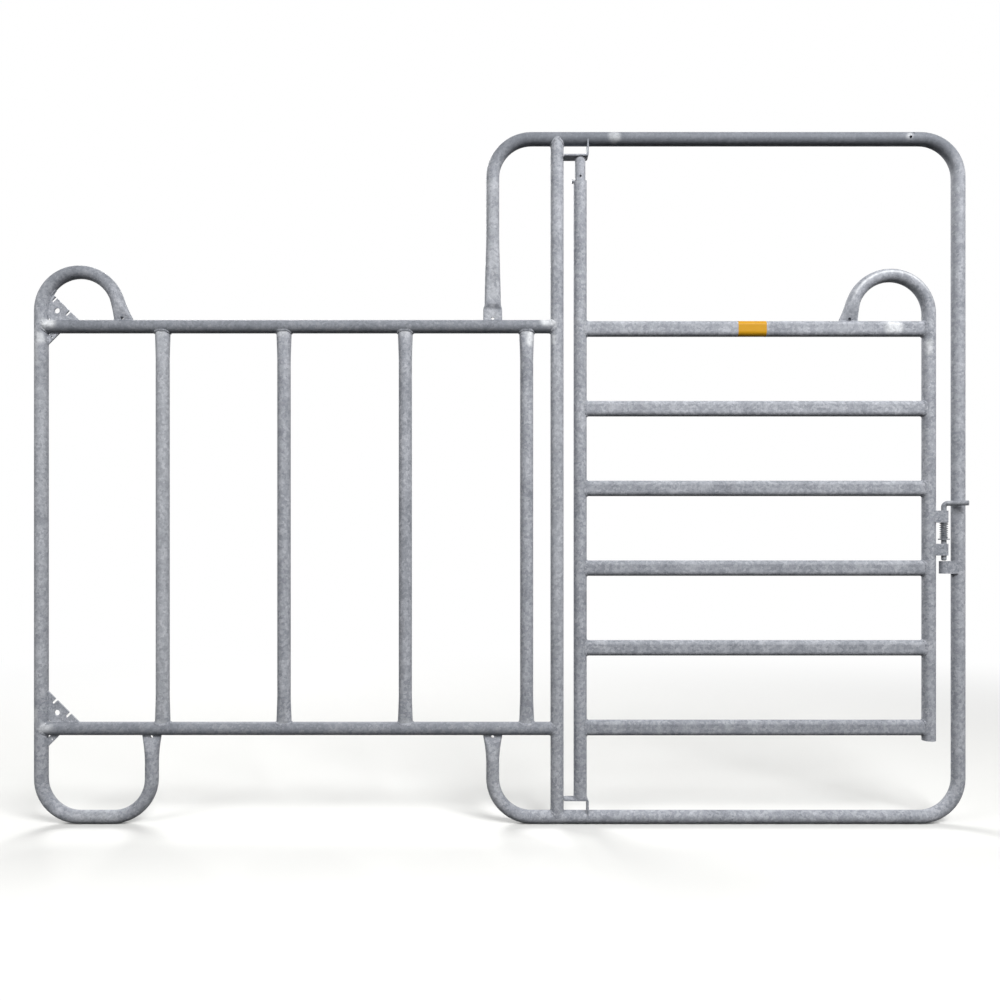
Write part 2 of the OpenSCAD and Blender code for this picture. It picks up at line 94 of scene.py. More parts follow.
def closedShell(grid, closeRows):
    # rings of points as one closed skin: quads along it and one flat cap at each open end; its volume is the
    # sum of the quads' triple products, and where that is negative every face is turned round
    rows, columns = grid.shape[:2]
    points = grid.reshape(-1, 3)
    quads = gridFaces(rows, columns, closeRows)
    a, b, c, d = (points[quads[:, k]] for k in range(4))
    volume = (a * (np.cross(b, c) + np.cross(c, d))).sum()
    ring = np.arange(columns)
    caps = [] if closeRows else [ring[::-1], ring + (rows - 1) * columns]
    if volume < 0:
        quads = quads[:, ::-1]
        caps = [cap[::-1] for cap in caps]
    return points, quads, caps


def makePiece(name, shells, material, body):
    # several closed skins in one mesh at the origin: each skin's faces count on from the points before it
    points = []
    faces = []
    start = 0
    for shellPoints, quads, caps in shells:
        points.append(shellPoints)
        faces += (quads + start).tolist() + [(cap + start).tolist() for cap in caps]
        start += len(shellPoints)
    mesh = bpy.data.meshes.new(name)
    mesh.from_pydata(toMetres(np.concatenate(points)).tolist(), [], faces)
    mesh.polygons.foreach_set("use_smooth", np.ones(len(faces), bool))
    mesh.set_sharp_from_angle(angle=np.radians(sharpDegrees))
    mesh.materials.append(material)
    mesh.update()
    piece = bpy.data.objects.new(name, mesh)
    bpy.context.scene.collection.objects.link(piece)
    if body:
        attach(piece, body)
    return piece


def linearColour(code):
    # sRGB hex to linear light: divided by 12.92 near black, a 2.4 power curve above
    srgb = np.array([int(code[k:k + 2], 16) for k in (1, 3, 5)]) / 255
    linear = np.where(srgb <= 0.04045, srgb / 12.92, ((srgb + 0.055) / 1.055) ** 2.4)
    return (*linear.tolist(), 1.0)


def addNode(tree, kind, inputs=(), **settings):
    # one node: settings go on the node itself, inputs are values or sockets to link
    node = tree.nodes.new(kind)
    for key, value in settings.items():
        setattr(node, key, value)
    for key, value in dict(inputs).items():
        if isinstance(value, bpy.types.NodeSocket):
            tree.links.new(value, node.inputs[key])
        else:
            node.inputs[key].default_value = value
    return node


def emptyMaterial(name):
    # a material whose tree has no nodes yet
    material = bpy.data.materials.new(name)
    material.use_nodes = True
    material.node_tree.nodes.clear()
    return material, material.node_tree


# hot-dip galvanised steel, dulled by weather: bluish grey zinc with small crystal flakes that catch the
# light one by one, soft darker clouds, faint runs along the dip and almost no mirror, so the shade side
# goes dark; painted highlights lay a paler, smoother zinc, and on some tubes painted shade darkens it
galvanised = {
    "dark": "#797c83", "middle": "#999ca3", "light": "#bcbec4",
    "stain": "#67666a", "dullAndShade": "#5f636a", "paintedHighlight": "#dcdee0",
    "spangleMm": 8.0, "wobbleMm": 3.0, "flakeMm": 4.0, "patchMm": 90.0, "runMm": (26.0, 26.0, 150.0),
    "wobbleNoise": {"Detail": 1.0},
    "flakeNoise": {"Detail": 2.0, "Roughness": 0.6},
    "patchNoise": {"Detail": 3.0, "Roughness": 0.6},
    "runNoise": {"Detail": 4.0, "Roughness": 0.65},
    "cellShare": 0.34, "flakeShare": 0.55, "patchShare": 0.6, "runShare": 0.4,
    "toneRange": (0.43, 1.12), "middleAt": 0.5, "stainRange": (0.58, 0.8), "stainShare": 0.35,
    "metallic": 0.04, "specular": 0.13, "roughnessLow": 0.5, "roughnessHigh": 0.72,
    "bumpMm": 0.4, "bumpStrength": 0.25,
    "brightMetallic": 0.06, "brightRoughness": 0.42, "brightTone": (0.55, 0.95), "brightLeast": 0.55,
    "frontMm": (-30.0, -10.0), "raggedMm": 44.0, "arcMm": 9.0, "arcEdge": 0.7, "arcRise": (0.2, 0.8),
}


def paintedSpotShare(tree, coords, ragged, finish, spot):
    # a painted highlight spot is a box on the front: from and to in x, from and to in z, a reach in mm and a
    # share; the share is whole inside the box and eases off to none at that distance from its nearest point,
    # and the distance is made uneven by the ragged noise
    xFrom, xTo, zFrom, zTo, reach, share = spot
    front, back = finish["frontMm"]
    nearest = addNode(tree, "ShaderNodeVectorMath", {
        0: coords, 1: toMetres((xTo, back, zTo)).tolist()}, operation="MINIMUM").outputs[0]
    nearest = addNode(tree, "ShaderNodeVectorMath", {
        0: nearest, 1: toMetres((xFrom, front, zFrom)).tolist()}, operation="MAXIMUM").outputs[0]
    away = addNode(tree, "ShaderNodeVectorMath", {
        0: coords, 1: nearest}, operation="DISTANCE").outputs["Value"]
    away = addNode(tree, "ShaderNodeMath", {0: away, 1: ragged}, operation="ADD").outputs[0]
    return addNode(tree, "ShaderNodeMapRange", {
        "Value": away, "From Max": reach / mmPerMetre, "To Min": share, "To Max": 0.0},
        interpolation_type="SMOOTHSTEP").outputs["Result"]


def paintedArcShare(tree, coords, finish, arc):
    # a painted highlight arc is x and z of a bend's centre, its radius in mm and a share; the share is whole
    # on a circle a little larger than the bend's middle line, eases off to both sides of it, and grows with
    # the height over the centre
    x, z, radius, share = arc
    spoke = addNode(tree, "ShaderNodeVectorMath", {
        0: coords, 1: toMetres((x, 0, z)).tolist()}, operation="SUBTRACT").outputs[0]
    spoke = addNode(tree, "ShaderNodeVectorMath", {
        0: spoke, 1: (axisX + axisZ).tolist()}, operation="MULTIPLY").outputs[0]
    off = addNode(tree, "ShaderNodeVectorMath", {0: spoke}, operation="LENGTH").outputs["Value"]
    off = addNode(tree, "ShaderNodeMath", {
        0: off, 1: (radius + finish["arcMm"]) / mmPerMetre}, operation="SUBTRACT").outputs[0]
    off = addNode(tree, "ShaderNodeMath", {0: off}, operation="ABSOLUTE").outputs[0]
    onCircle = addNode(tree, "ShaderNodeMapRange", {
        "Value": off, "From Max": finish["arcEdge"] * finish["arcMm"] / mmPerMetre,
        "To Min": share, "To Max": 0.0}, interpolation_type="SMOOTHSTEP").outputs["Result"]
    low, high = finish["arcRise"]
    over = addNode(tree, "ShaderNodeMapRange", {
        "Value": addNode(tree, "ShaderNodeSeparateXYZ", {"Vector": spoke}).outputs["Z"],
        "From Min": low * radius / mmPerMetre, "From Max": high * radius / mmPerMetre}).outputs["Result"]
    return addNode(tree, "ShaderNodeMath", {0: onCircle, 1: over}, operation="MULTIPLY").outputs[0]


def galvanisedSteel(name, finish, paintedHighlightSpots=(), dullAndShadeFrom=None, paintedHighlightArc=None):
    # tone is a weighted sum of crystal cells, finer flakes, clouds and runs, and lays dark, middle and light
    # zinc over each other; stains follow the runs, dullAndShadeFrom (two heights in mm and a share) turns
    # that share to darker zinc above those heights, partly painted shade, and the largest painted highlight
    # share, times the tone, lays a paler, smoother painted highlight
    material, tree = emptyMaterial(name)
    coords = addNode(tree, "ShaderNodeTexCoord").outputs["Object"]
    wobble = addNode(tree, "ShaderNodeTexNoise", {
        "Vector": coords, "Scale": mmPerMetre / finish["spangleMm"],
        **finish["wobbleNoise"]}).outputs["Color"]
    wobble = addNode(tree, "ShaderNodeVectorMath", {
        0: wobble, 1: (0.5, 0.5, 0.5)}, operation="SUBTRACT").outputs[0]
    feathered = addNode(tree, "ShaderNodeVectorMath", {
        0: wobble, 1: [finish["wobbleMm"] / mmPerMetre] * 3, 2: coords}, operation="MULTIPLY_ADD").outputs[0]
    spangle = addNode(tree, "ShaderNodeTexVoronoi", {
        "Vector": feathered, "Scale": mmPerMetre / finish["spangleMm"]}).outputs["Color"]
    cell = addNode(tree, "ShaderNodeSeparateColor", {"Color": spangle}).outputs["Red"]
    flake = addNode(tree, "ShaderNodeTexNoise", {
        "Vector": coords, "Scale": mmPerMetre / finish["flakeMm"], **finish["flakeNoise"]}).outputs["Fac"]
    patch = addNode(tree, "ShaderNodeTexNoise", {
        "Vector": coords, "Scale": mmPerMetre / finish["patchMm"], **finish["patchNoise"]}).outputs["Fac"]
    stretched = addNode(tree, "ShaderNodeMapping", {
        "Vector": coords, "Scale": [mmPerMetre / size for size in finish["runMm"]]}).outputs["Vector"]
    runs = addNode(tree, "ShaderNodeTexNoise", {
        "Vector": stretched, "Scale": 1.0, **finish["runNoise"]}).outputs["Fac"]

    tone = addNode(tree, "ShaderNodeMath", {
        0: cell, 1: finish["cellShare"], 2: -finish["cellShare"] / 2}, operation="MULTIPLY_ADD").outputs[0]
    for pattern, share in ((flake, "flakeShare"), (patch, "patchShare"), (runs, "runShare")):
        tone = addNode(tree, "ShaderNodeMath", {
            0: pattern, 1: finish[share], 2: tone}, operation="MULTIPLY_ADD").outputs[0]
    toneLow, toneHigh = finish["toneRange"]
    level = addNode(tree, "ShaderNodeMapRange", {
        "Value": tone, "From Min": toneLow, "From Max": toneHigh}).outputs["Result"]
    stainLow, stainHigh = finish["stainRange"]
    layers = {
        "middle": addNode(tree, "ShaderNodeMapRange", {
            "Value": level, "From Max": finish["middleAt"]}).outputs["Result"],
        "light": addNode(tree, "ShaderNodeMapRange", {
            "Value": level, "From Min": finish["middleAt"]}).outputs["Result"],
        "stain": addNode(tree, "ShaderNodeMapRange", {
            "Value": runs, "From Min": stainLow, "From Max": stainHigh,
            "To Max": finish["stainShare"]}).outputs["Result"],
    }
    # darker zinc above the given heights: partly a darker tone, partly painted shade
    if dullAndShadeFrom:
        low, high, share = dullAndShadeFrom
        height = addNode(tree, "ShaderNodeSeparateXYZ", {"Vector": coords}).outputs["Z"]
        layers["dullAndShade"] = addNode(tree, "ShaderNodeMapRange", {
            "Value": height, "From Min": toMetres((0, 0, low))[2], "From Max": toMetres((0, 0, high))[2],
            "To Max": share}, interpolation_type="SMOOTHSTEP").outputs["Result"]

    roughness = addNode(tree, "ShaderNodeMapRange", {
        "Value": cell, "To Min": finish["roughnessLow"],
        "To Max": finish["roughnessHigh"]}).outputs["Result"]
    metallic = finish["metallic"]
    shares = []
    if paintedHighlightSpots:
        edge = finish["raggedMm"] / mmPerMetre
        ragged = addNode(tree, "ShaderNodeMath", {
            0: patch, 1: edge, 2: -edge / 2}, operation="MULTIPLY_ADD").outputs[0]
        shares += [paintedSpotShare(tree, coords, ragged, finish, spot) for spot in paintedHighlightSpots]
    if paintedHighlightArc:
        shares.append(paintedArcShare(tree, coords, finish, paintedHighlightArc))
    # painted highlight: the largest share, times the tone, lays pale zinc with less roughness and a little
    # more metal
    if shares:
        paintedShine = shares[0]
        for share in shares[1:]:
            paintedShine = addNode(tree, "ShaderNodeMath", {0: paintedShine, 1: share}, operation="MAXIMUM").outputs[0]
        brightLow, brightHigh = finish["brightTone"]
        uneven = addNode(tree, "ShaderNodeMapRange", {
            "Value": tone, "From Min": brightLow, "From Max": brightHigh,
            "To Min": finish["brightLeast"], "To Max": 1.0}).outputs["Result"]
        paintedShine = addNode(tree, "ShaderNodeMath", {0: paintedShine, 1: uneven}, operation="MULTIPLY").outputs[0]
        layers["paintedHighlight"] = paintedShine
        roughness = addNode(tree, "ShaderNodeMix", {
            "Factor": paintedShine, "A": roughness, "B": finish["brightRoughness"]}).outputs["Result"]
        metallic = addNode(tree, "ShaderNodeMapRange", {
            "Value": paintedShine, "To Min": metallic, "To Max": finish["brightMetallic"]}).outputs["Result"]

    colour = linearColour(finish["dark"])
    for shade, share in layers.items():
        colour = addNode(tree, "ShaderNodeMix", data_type="RGBA", inputs={
            "Factor": share, "A": colour, "B": linearColour(finish[shade])}).outputs["Result"]
    bump = addNode(tree, "ShaderNodeBump", {
        "Strength": finish["bumpStrength"], "Distance": finish["bumpMm"] / mmPerMetre,
        "Height": tone}).outputs["Normal"]
    shader = addNode(tree, "ShaderNodeBsdfPrincipled", {
        "Base Color": colour, "Roughness": roughness, "Normal": bump, "Metallic": metallic,
        "Specular IOR Level": finish["specular"]})
    addNode(tree, "ShaderNodeOutputMaterial", {"Surface": shader.outputs["BSDF"]})
    return material


# calendered PVC film, solid yellow and slightly glossy, faded and scuffed by weather
vinyl = {
    "yellow": "#be8a10", "faded": "#c69422", "scuff": "#9a6c14", "specular": 0.14,
    "mottleMm": 16.0, "mottleNoise": {"Detail": 3.0},
    "scuffMm": 3.0, "scuffNoise": {"Detail": 5.0, "Roughness": 0.7},
    "scuffRange": (0.56, 0.75), "scuffShare": 0.6, "roughnessLow": 0.3, "roughnessHigh": 0.55,
    "bumpMm": 0.1, "bumpStrength": 0.12,
}


def vinylFilm(name, finish):
    # two yellows in soft patches, with darker scuffs where fine noise peaks
    material, tree = emptyMaterial(name)
    coords = addNode(tree, "ShaderNodeTexCoord").outputs["Object"]
    mottle = addNode(tree, "ShaderNodeTexNoise", {
        "Vector": coords, "Scale": mmPerMetre / finish["mottleMm"], **finish["mottleNoise"]}).outputs["Fac"]
    scuff = addNode(tree, "ShaderNodeTexNoise", {
        "Vector": coords, "Scale": mmPerMetre / finish["scuffMm"], **finish["scuffNoise"]}).outputs["Fac"]
    scuffLow, scuffHigh = finish["scuffRange"]
    worn = addNode(tree, "ShaderNodeMapRange", {
        "Value": scuff, "From Min": scuffLow, "From Max": scuffHigh,
        "To Max": finish["scuffShare"]}).outputs["Result"]
    colour = linearColour(finish["yellow"])
    for shade, share in (("faded", mottle), ("scuff", worn)):
        colour = addNode(tree, "ShaderNodeMix", data_type="RGBA", inputs={
            "Factor": share, "A": colour, "B": linearColour(finish[shade])}).outputs["Result"]
    roughness = addNode(tree, "ShaderNodeMapRange", {
        "Value": scuff, "To Min": finish["roughnessLow"],
        "To Max": finish["roughnessHigh"]}).outputs["Result"]
    bump = addNode(tree, "ShaderNodeBump", {
        "Strength": finish["bumpStrength"], "Distance": finish["bumpMm"] / mmPerMetre,
        "Height": scuff}).outputs["Normal"]
    shader = addNode(tree, "ShaderNodeBsdfPrincipled", {
        "Base Color": colour, "Roughness": roughness, "Normal": bump,
        "Specular IOR Level": finish["specular"]})
    addNode(tree, "ShaderNodeOutputMaterial", {"Surface": shader.outputs["BSDF"]})
    return material


# painted highlights and glints, in mm: from and to in x, from and to in z, the reach round that, and the
# share; a joint's spots go on all that meets there
upperLeft = [
    (24, 40, 1608, 1614, 24, 1.0),
    (5, 8, 1556, 1572, 15, 0.7),
    (-13, -11, 1480, 1580, 16, 0.4),
]
upperRight = [
    (1622, 1646, 1607, 1615, 22, 1.0),
    (1651, 1653, 1546, 1566, 15, 0.9),
]
lowerLeft = [
    (14, 34, 309, 315, 22, 0.6),
    (-14, -12, 336, 364, 15, 0.5),
]
firstBarX = panel["barPitch"]
lastBarX = panel["barCount"] * panel["barPitch"]
paintedHighlightsByPiece = {
    "panel_top_rail": upperLeft + upperRight,
    "panel_bottom_rail": lowerLeft,
    "left_post": upperLeft + lowerLeft + [(110, 250, 20, 24, 30, 0.2), (-16, 16, 420, 1480, 24, 0.1)],
    "hinge_post": upperRight + [(1648, 1680, 60, 1500, 24, 0.1)],
    "upper_corner_plate": upperLeft,
    "lower_corner_plate": lowerLeft,
    "panel_bar_1": [(firstBarX - 16, firstBarX + 16, 360, 1540, 24, 0.2)],
    "panel_bar_4": [(lastBarX + 10, lastBarX + 12, 1546, 1576, 15, 1.0)],
    "gate_rail_6": [(2734, 2752, 1598, 1604, 24, 1.0)],
    "latch_stile": [(2853, 2855, 1514, 1542, 15, 0.7)],
    "gate_frame": [
        (1450, 1462, 1628, 1638, 24, 0.3),
        (2788, 2794, 2207, 2210, 20, 0.8),
        (1444, 1468, 1700, 2060, 24, 0.15),
        (1440, 1472, 60, 240, 24, 0.14),
        (1843, 1853, 2206, 2210, 16, 0.5),
    ],
}
# painted highlights on both pressed ends of every bar, alike: from and to in z, and the share
barEnds = {"half": 4, "reach": 22, "spots": ((1582, 1590, 0.45), (318, 326, 0.3))}
for number in range(1, panel["barCount"] + 1):
    x = number * panel["barPitch"]
    ends = [(x - barEnds["half"], x + barEnds["half"], low, high, barEnds["reach"], share)
            for low, high, share in barEnds["spots"]]
    paintedHighlightsByPiece[f"panel_bar_{number}"] = ends + paintedHighlightsByPiece.get(f"panel_bar_{number}", [])

# darker zinc on some horizontal tubes and bends, partly painted shade, by piece: the heights in mm between
# which that sets in, and the share
dullAndShadeByPiece = {
    "panel_top_rail": (0, 1, 0.5), "panel_bottom_rail": (0, 1, 0.42),
    "gate_rail_1": (0, 1, 0.18), "gate_rail_2": (0, 1, 0.1),
    "gate_rail_3": (0, 1, 0.12), "gate_rail_4": (0, 1, 0.1),
    "gate_frame": (2090, 2190, 0.72), "left_post": (1690, 1780, 0.4),
}

# painted highlight along the outer side of the gate's handle loop: centre, radius in mm and share
paintedHighlightArcByPiece = {"latch_stile": (gate["stileX"] - panel["bendR"], gate["loopZ"], panel["bendR"], 0.8)}

# sheared and bent strap: the same bath, smaller crystals, a little darker
strap = {
    **galvanised, "dark": "#70747b", "middle": "#8f9299", "light": "#b2b4ba",
    "spangleMm": 6.0, "patchMm": 30.0,
}
# flat plate with slots: like the tube's zinc, with smaller crystals
plate = {**galvanised, "dark": "#7c8087", "middle": "#9ea1a8", "light": "#c0c2c8", "spangleMm": 6.0}
# drawn round bar, zinc plated: finer grain and more sheen where it slides
rod = {
    **strap, "dark": "#676a70", "middle": "#898c92", "light": "#b0b2b7",
    "spangleMm": 4.0, "flakeMm": 2.5,
    "roughnessLow": 0.4, "roughnessHigh": 0.56, "metallic": 0.16, "specular": 0.25,
}
# coiled spring wire, zinc plated: as the rod, with the whole wire darker as painted shade for the gaps
# between its turns
springWire = {**rod, "dark": "#54575d", "middle": "#777a80", "light": "#a2a4a9", "patchMm": 12.0}
# weld metal under the zinc: finer crystals and a little darker than the tube
weldZinc = {
    **galvanised, "dark": "#74777e", "middle": "#94979e", "light": "#b8bac0",
    "spangleMm": 5.0, "patchMm": 24.0,
}
rodPieces = ("latch_bolt", "bolt_washer", "spindle_pin", "top_hinge_pin", "bottom_hinge_pin")
strapPieces = (
    "top_hinge_bracket", "bottom_hinge_bracket", "latch_keeper", "upper_bolt_guide", "lower_bolt_guide")
platePieces = ("upper_chain_plate", "lower_chain_plate", "upper_corner_plate", "lower_corner_plate")

rodMaterial = galvanisedSteel("zincPlatedRod", rod)
strapMaterial = galvanisedSteel("galvanisedStrap", strap)
# the weld beads carry the joints' painted highlights
weldMaterial = galvanisedSteel("galvanisedWeld", weldZinc, upperLeft + upperRight + lowerLeft)
# each piece gets its painted highlights, and the tubes also their darker zinc with painted shade and the
# handle loop's painted highlight arc
for name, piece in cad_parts.items():
    spots = paintedHighlightsByPiece.get(name, ())
    if name in rodPieces:
        material = rodMaterial
    elif name in strapPieces:
        material = strapMaterial
    elif name in platePieces:
        material = galvanisedSteel("galvanisedPlate." + name, plate, spots)
    else:
        material = galvanisedSteel(
            "galvanisedTube." + name, galvanised, spots, dullAndShadeByPiece.get(name), paintedHighlightArcByPiece.get(name))
    piece.data.materials.clear()
    piece.data.materials.append(material)
print("materials laid on", len(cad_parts), "pieces")

# weld beads in mm: ripples like a row of coins, two waves that make them uneven (mm of bead for a radian, and
# how many times the phase), and how far a bead flattens and spreads where the two surfaces run together
weld = {
    "leg": 2.4, "rise": 0.5, "rootShare": 0.5, "sides": 7, "steps": 150, "stepMm": 1.2, "fewestSteps": 8,
    "ripple": 0.06, "rippleMm": 4.6, "uneven": 0.06, "waves": ((7.3, 2), (3.1, 5)),
    "flatten": 0.9, "spread": 1.3, "endLegs": 2, "endLeast": 0.02,
    "stopMm": 1.0,  # a bead ends this far from a hole or an edge
    "roundShare": 0.97,  # keeps the bead out of the crotch where two equal tubes run together
}


def stadium(width, thick, count):
    # points evenly spaced along a flat oval's outline: two straight flanks and two half circles,
    # with the outward direction at each; width along the first axis, thickness along the second
    r = thick / 2
    flank = max(width - thick, 0.0)
    arc = np.pi * r
    s = (np.arange(count) + 0.5) / count * (2 * flank + 2 * np.pi * r)
    firstTurn = s / r - np.pi / 2
    secondTurn = (s - arc - flank) / r + np.pi / 2
    stretches = [s < arc, s < arc + flank, s < 2 * arc + flank]
    alongA = np.select(
        stretches,
        [flank / 2 + r * np.cos(firstTurn), flank / 2 - (s - arc), -flank / 2 + r * np.cos(secondTurn)],
        -flank / 2 + (s - 2 * arc - flank))
    alongY = np.select(
        stretches, [r * np.sin(firstTurn), np.full_like(s, r), r * np.sin(secondTurn)], -r)
    outA = np.where(np.abs(alongA) > flank / 2, alongA - np.sign(alongA) * flank / 2, 0) / r
    return alongA, alongY, outA, alongY / r


def beadShell(curve, outBranch, outMain, away, closed, phase):
    # a bead follows the joint line: its section runs from the toe on the branch to the toe on the main tube
    # on a quarter turn, lifted along both outward directions, and ripples every few mm along the line from
    # where phase says; where the two surfaces run together it spreads and lies flat
    step = np.roll(curve, -1, 0) - np.roll(curve, 1, 0) if closed else np.gradient(curve, axis=0)
    tangent = step / np.linalg.norm(step, axis=1, keepdims=True)
    toeBranch = np.cross(outBranch, tangent)
    toeBranch *= np.where((toeBranch * away).sum(1, keepdims=True) < 0, -1, 1)
    toeMain = np.cross(outMain, tangent)
    toeMain *= np.where((toeMain * (2 * outBranch - away)).sum(1, keepdims=True) < 0, -1, 1)
    lift = outBranch + outMain
    lift = lift / np.maximum(np.linalg.norm(lift, axis=1, keepdims=True), tiny)
    flush = np.clip((outBranch * outMain).sum(1), 0, 1)[:, None, None]
    rise = weld["rise"] * (1 - weld["flatten"] * flush)
    reach = weld["leg"] * (1 + weld["spread"] * flush)
    along = np.concatenate([[0], np.cumsum(np.linalg.norm(np.diff(curve, axis=0), axis=1))])
    size = 1 + weld["ripple"] * np.cos(2 * np.pi * along / weld["rippleMm"] + phase)
    size += weld["uneven"] * sum(
        np.sin(along / radianMm + times * phase) for radianMm, times in weld["waves"])
    if not closed:
        fromEnd = np.minimum(along, along[-1] - along) / (weld["endLegs"] * weld["leg"])
        size *= np.sqrt(np.clip(fromEnd, weld["endLeast"], 1))
    size = size[:, None, None]
    turn = np.linspace(0, np.pi / 2, weld["sides"])[None, :, None]
    across = np.cos(turn) * toeBranch[:, None] + np.sin(turn) * toeMain[:, None]
    top = curve[:, None] + size * (reach * across + rise * np.sin(2 * turn) * lift[:, None])
    root = curve[:, None] - weld["rootShare"] * size * weld["leg"] * lift[:, None]
    return closedShell(np.concatenate([top, root], 1), closed)


def tubeJoint(centre, away, run, width, thick, phase):
    # where a flat oval or round branch meets a round main tube: the branch's outline, raised along the branch
    # by the square root of the main radius squared less the depth squared
    alongA, alongY, outA, outY = stadium(width, thick, weld["steps"])
    rise = np.sqrt(np.maximum(panel["tubeR"] ** 2 - alongY ** 2, 0))
    outward = alongY[:, None] * axisY
    curve = np.asarray(centre) + alongA[:, None] * run + outward + rise[:, None] * away
    outBranch = outA[:, None] * run + outY[:, None] * axisY
    outMain = (outward + rise[:, None] * away) / panel["tubeR"]
    return beadShell(curve, outBranch, outMain, away, True, phase)


def seam(start, end, outBranch, outMain, away, phase):
    # an open bead on the straight line from start to end
    start = np.asarray(start, float)
    end = np.asarray(end, float)
    count = max(int(np.linalg.norm(end - start) / weld["stepMm"]), weld["fewestSteps"])
    share = np.linspace(0, 1, count)[:, None]
    curve = (1 - share) * start + share * end
    return beadShell(
        curve, np.tile(outBranch, (count, 1)), np.tile(outMain, (count, 1)), away, False, phase)


def flatEndSeams(x, z, side, crownR, halfWidth):
    # both flat faces of a pressed end on a crown, left and right of the drain hole: the crown's height at the
    # face is the square root of its radius squared less the half thickness squared
    y = panel["flatThick"] / 2
    rise = np.sqrt(crownR ** 2 - y ** 2)
    height = z + side * rise
    found = []
    for face in (-1, 1):
        outMain = (face * y * axisY + side * rise * axisZ) / crownR
        for half in (-1, 1):
            start = (x + half * (panel["drainR"] + weld["stopMm"]), face * y, height)
            end = (x + half * (halfWidth - weld["stopMm"]), face * y, height)
            found.append(seam(start, end, face * axisY, outMain, side * axisZ, x + 3 * half + face))
    return found


def plateSeams(z, side, leg, looped):
    # a plate's two legs on both faces: one straight along the rail, one along the post; on the looped post
    # the line follows the inner side of the bend, which lies at the bend radius less the tube's reach from
    # the bend's centre
    y = panel["plateThick"] / 2
    reach = np.sqrt(panel["tubeR"] ** 2 - y ** 2)
    first = panel["tubeR"] + panel["plateClip"]
    last = panel["tubeR"] + leg - weld["stopMm"]
    inner = panel["bendR"] - reach
    height = z + side * np.linspace(first, last, int((last - first) / weld["stepMm"]))
    bent = np.maximum(height - panel["loopZ"], 0) if looped else np.zeros_like(height)
    x = panel["bendR"] - np.sqrt(inner ** 2 - bent ** 2)
    found = []
    for face in (-1, 1):
        railZ = z + side * reach
        outRail = (face * y * axisY + side * reach * axisZ) / panel["tubeR"]
        found.append(seam((first, face * y, railZ), (last, face * y, railZ), face * axisY, outRail,
                          side * axisZ, z + face))
        curve = np.stack([x, np.full_like(x, face * y), height], -1)
        outPost = np.stack([
            (panel["bendR"] - x) / inner, np.full_like(x, face * y / panel["tubeR"]), -bent / inner], -1)
        outPost /= np.linalg.norm(outPost, axis=1, keepdims=True)
        found.append(beadShell(
            curve, np.tile(face * axisY, (len(x), 1)), outPost, axisX, False, z + 2 * face))
    return found


roundWidth = 2 * panel["tubeR"] * weld["roundShare"]
barWidth = pressedWidth(panel["barEndThick"])
endHalf = pressedWidth(panel["flatThick"]) / 2
ovalR = gate["railThick"] / 2

endSeams = flatEndSeams(panel["loopEndX"], panel["highZ"], 1, panel["tubeR"],
                        endHalf / np.cos(np.radians(panel["loopLean"])))
for x, z, side in ((panel["footX"], panel["lowZ"], -1), (panel["stubX"], panel["lowZ"], -1),
                   (panel["stubX"], panel["highZ"], 1)):
    endSeams += flatEndSeams(x, z, side, panel["tubeR"], endHalf)
makePiece("endWelds", endSeams, weldMaterial, "frame")

plateJoints = plateSeams(panel["lowZ"], 1, panel["chainLeg"], False)
plateJoints += plateSeams(panel["highZ"], 1, panel["chainLeg"], True)
for z in (panel["lowZ"], panel["highZ"]):
    plateJoints += plateSeams(z, -1, panel["cornerLeg"], False)
makePiece("plateWelds", plateJoints, weldMaterial, "frame")

gateEndSeams = flatEndSeams(gate["loopEndX"], gate["topRailZ"] + gate["railHeight"] / 2 - ovalR, 1, ovalR,
                            endHalf / np.cos(np.radians(gate["loopLean"])))
makePiece("gateLoopWelds", gateEndSeams, weldMaterial, "gate")

railJoints = [tubeJoint((x, 0, z), side * axisX, axisZ, roundWidth, roundWidth, x + z)
              for x, side in ((0.0, 1), (panel["postX"], -1)) for z in (panel["lowZ"], panel["highZ"])]
railJoints += [tubeJoint((panel["postX"], 0, z), side * axisZ, axisX, roundWidth, roundWidth, z)
               for z, side in ((panel["baseZ"], 1), (panel["topZ"], -1))]
makePiece("railWelds", railJoints, weldMaterial, "frame")

barJoints = [tubeJoint((number * panel["barPitch"], 0, z), side * axisZ, axisX, barWidth,
                       panel["barEndThick"], number + z)
             for number in range(1, panel["barCount"] + 1)
             for z, side in ((panel["lowZ"], 1), (panel["highZ"], -1))]
makePiece("barWelds", barJoints, weldMaterial, "frame")

gateJoints = [tubeJoint((x, 0, gate["lowZ"] + number * gate["pitch"]), side * axisX, axisZ,
                        gate["railHeight"], gate["railThick"], number * side)
              for number in range(gate["railCount"])
              for x, side in ((gate["hingeX"], 1), (gate["stileX"], -1))]
makePiece("gateRailWelds", gateJoints, weldMaterial, "gate")
beads = endSeams + plateJoints + gateEndSeams + railJoints + barJoints + gateJoints
print("welds laid:", len(beads), "beads")

# the bolt's coil spring in mm; at both ends the rise keeps to endSpeed for flatTurns of a turn, then gains 1
# over one turn
latch = {
    "boltX": 2908.0, "boltY": -7.0, "springLow": 918.8, "springHigh": 969.6,
    "springDia": 25.0, "springWire": 3.0, "springTurns": 8.0,
    "endSpeed": 0.28, "flatTurns": 0.1, "stepsPerTurn": 40, "wireSides": 14,
}
wireR = latch["springWire"] / 2


